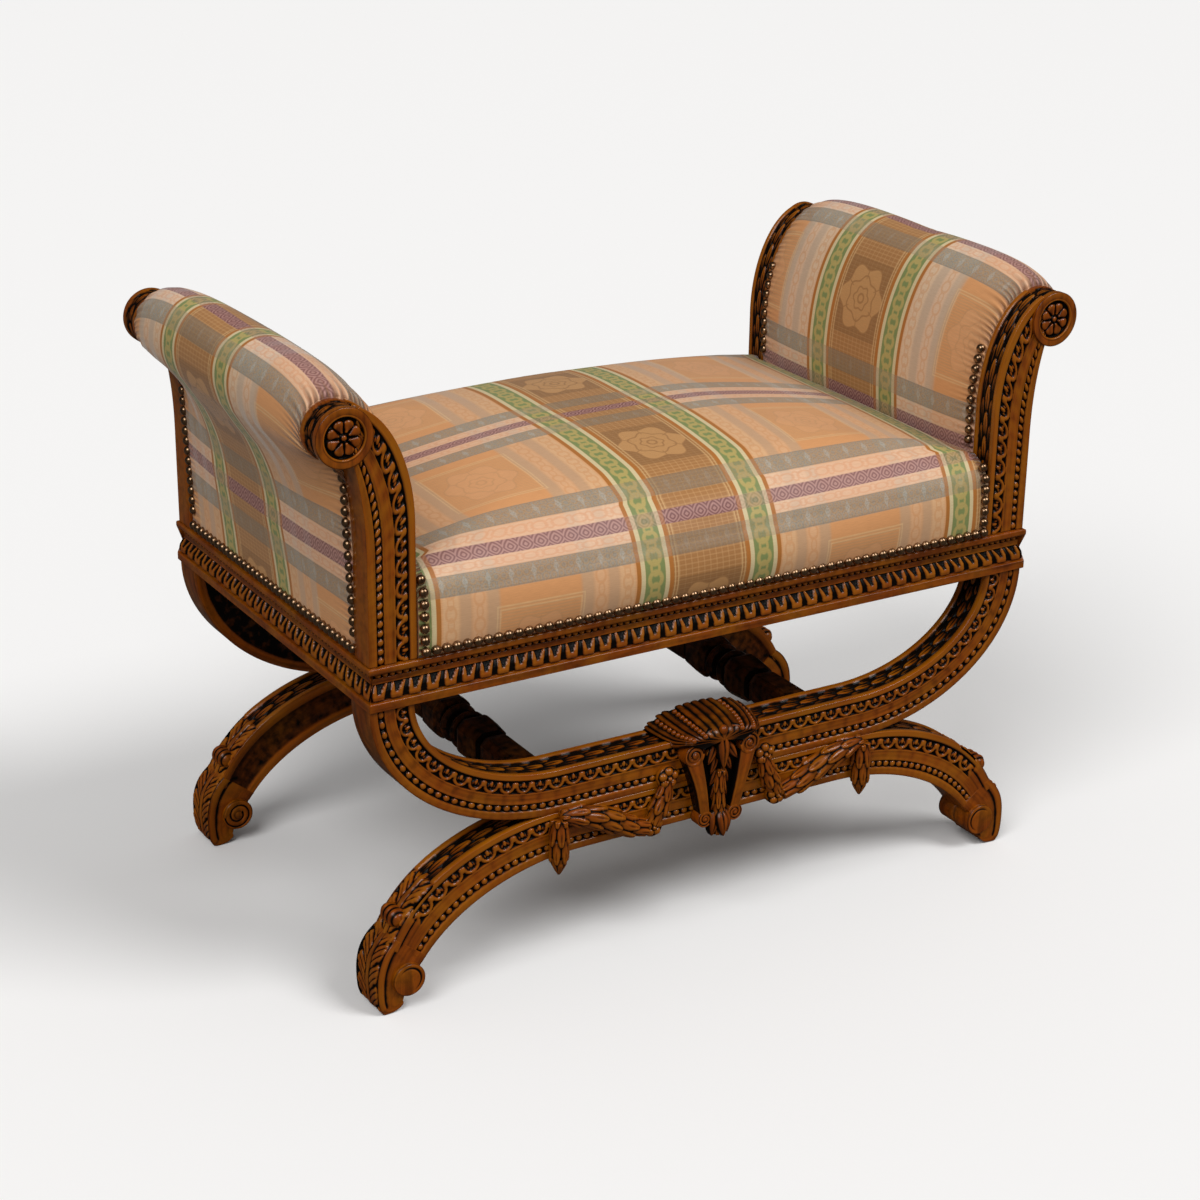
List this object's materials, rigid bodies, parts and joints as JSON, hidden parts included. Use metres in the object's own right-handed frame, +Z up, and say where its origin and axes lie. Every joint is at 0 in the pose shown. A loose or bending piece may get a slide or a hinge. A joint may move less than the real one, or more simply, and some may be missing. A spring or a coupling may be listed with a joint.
{
  "type": "x-frame window bench",
  "caption": "Upholstered window bench with scrolled arms on two carved X-shaped end frames joined by turned stretchers.",
  "frame": {"origin": "on the floor under the middle of the bench", "axes": "+X to the right along the bench's length, -Y to the front, +Z up"},
  "size_m": [0.9816, 0.5466, 0.72],
  "materials": {
    "walnut": "carved walnut, stained dark in the recesses and polished to a satin shine",
    "inner_wood": "plain sawn beech of the hidden rails, blocks and splines",
    "seat_damask": "striped and plaid damask weave, peach with green, blue-grey and plum bands",
    "webbing": "woven jute webbing and hessian",
    "antique_brass": "domed upholstery nails in darkened antique brass"
  },
  "bodies": {
    "root": {"front_boss": "walnut", "front_cradle_spline": "inner_wood", "front_left_corner_block": "inner_wood", "front_left_cradle": "walnut", "front_left_leg": "walnut", "front_left_post": "walnut", "front_left_swag": "walnut", "front_leg_spline": "inner_wood", "front_rail": "walnut", "front_right_corner_block": "inner_wood", "front_right_cradle": "walnut", "front_right_leg": "walnut", "front_right_post": "walnut", "front_right_swag": "walnut", "left_arm_pad": "seat_damask", "left_arm_tack_rail": "inner_wood", "left_arm_top_rail": "inner_wood", "left_rail": "walnut", "left_stretcher": "walnut", "rear_boss": "walnut", "rear_cradle_spline": "inner_wood", "rear_left_corner_block": "inner_wood", "rear_left_cradle": "walnut", "rear_left_leg": "walnut", "rear_left_post": "walnut", "rear_left_swag": "walnut", "rear_leg_spline": "inner_wood", "rear_rail": "walnut", "rear_right_corner_block": "inner_wood", "rear_right_cradle": "walnut", "rear_right_leg": "walnut", "rear_right_post": "walnut", "rear_right_swag": "walnut", "right_arm_pad": "seat_damask", "right_arm_tack_rail": "inner_wood", "right_arm_top_rail": "inner_wood", "right_rail": "walnut", "right_stretcher": "walnut", "seat_cushion": "seat_damask", "seat_hessian": "webbing", "seat_webbing": "webbing"}
  },
  "joints": []
}
